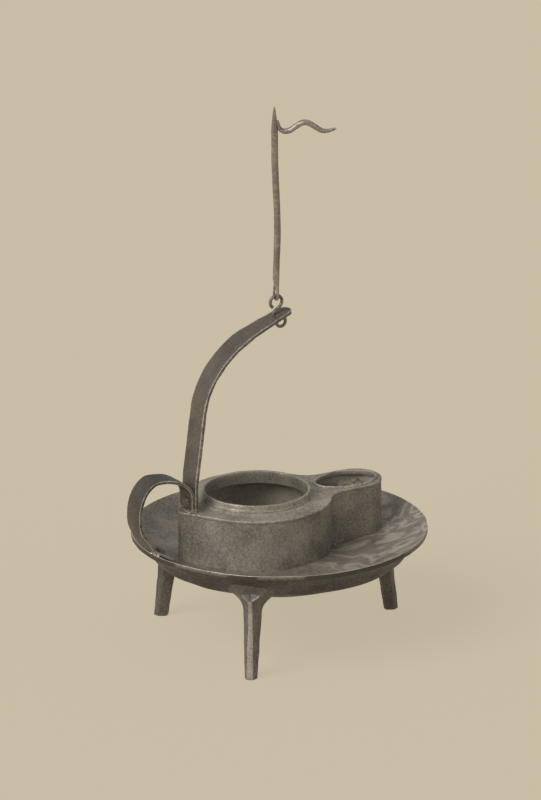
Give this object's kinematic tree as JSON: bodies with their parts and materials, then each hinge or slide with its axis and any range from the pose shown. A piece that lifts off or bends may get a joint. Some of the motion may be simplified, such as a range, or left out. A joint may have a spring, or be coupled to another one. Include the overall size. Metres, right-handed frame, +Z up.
{
  "type": "betty lamp",
  "caption": "Open wick oil lamp: pear-shaped iron font in a drip tray on a legged stand, with a strap handle, a bent arm, and a hanger with spike and hook on a loose link.",
  "frame": {"origin": "on the table plane under the middle of the overall box; the tray's centre line lies 4.1 mm in front of it", "axes": "+Z up, +X along the lamp towards the spout, +Y to the left seen from the handle"},
  "size_m": [0.1436, 0.1352, 0.254],
  "materials": {
    "bowl_iron": "dark cast iron, sooty",
    "tray_iron": "sheet iron, worn, with marks of old grease",
    "leg_iron": "forged iron, hammered",
    "font_iron": "forged sheet iron, pitted and stained",
    "deck_iron": "forged sheet iron, rubbed light on top",
    "strap_iron": "forged strap iron, hammered",
    "rivet_iron": "iron rivets, worn",
    "hanger_iron": "forged iron rod and wire",
    "wick_cotton": "twisted cotton rag, charred at the tip"
  },
  "bodies": {
    "lamp": {"base_bowl": "bowl_iron", "drip_tray": "tray_iron", "leg_front": "leg_iron", "leg_left": "leg_iron", "leg_right": "leg_iron", "leg_washers": "leg_iron", "font_wall": "font_iron", "font_floor": "font_iron", "font_deck": "deck_iron", "filler_collar": "deck_iron", "wick_trough": "font_iron", "trough_rivet": "rivet_iron", "arm": "strap_iron", "handle": "strap_iron", "arm_rivet": "rivet_iron", "handle_rivet": "rivet_iron"},
    "link": {"link": "hanger_iron"},
    "hanger": {"hanger_rod": "hanger_iron", "hanger_hook": "hanger_iron"},
    "wick": {"wick": "wick_cotton"}
  },
  "joints": [
    {"name": "link_swivel", "type": "hinge", "parent": "lamp", "child": "link", "pos_m": [0.00251, 0, 0.15302], "axis": [-0.3616, 0, 0.9323], "continuous": true},
    {"name": "hanger_swing", "type": "hinge", "parent": "link", "child": "hanger", "pos_m": [0.00351, 0, 0.16341], "axis": [1, 0, 0], "range_deg": [-100, 100]},
    {"name": "wick_feed", "type": "slide", "parent": "lamp", "child": "wick", "axis": [0.8829, 0, 0.4695], "range_m": [0, 0.004]}
  ]
}
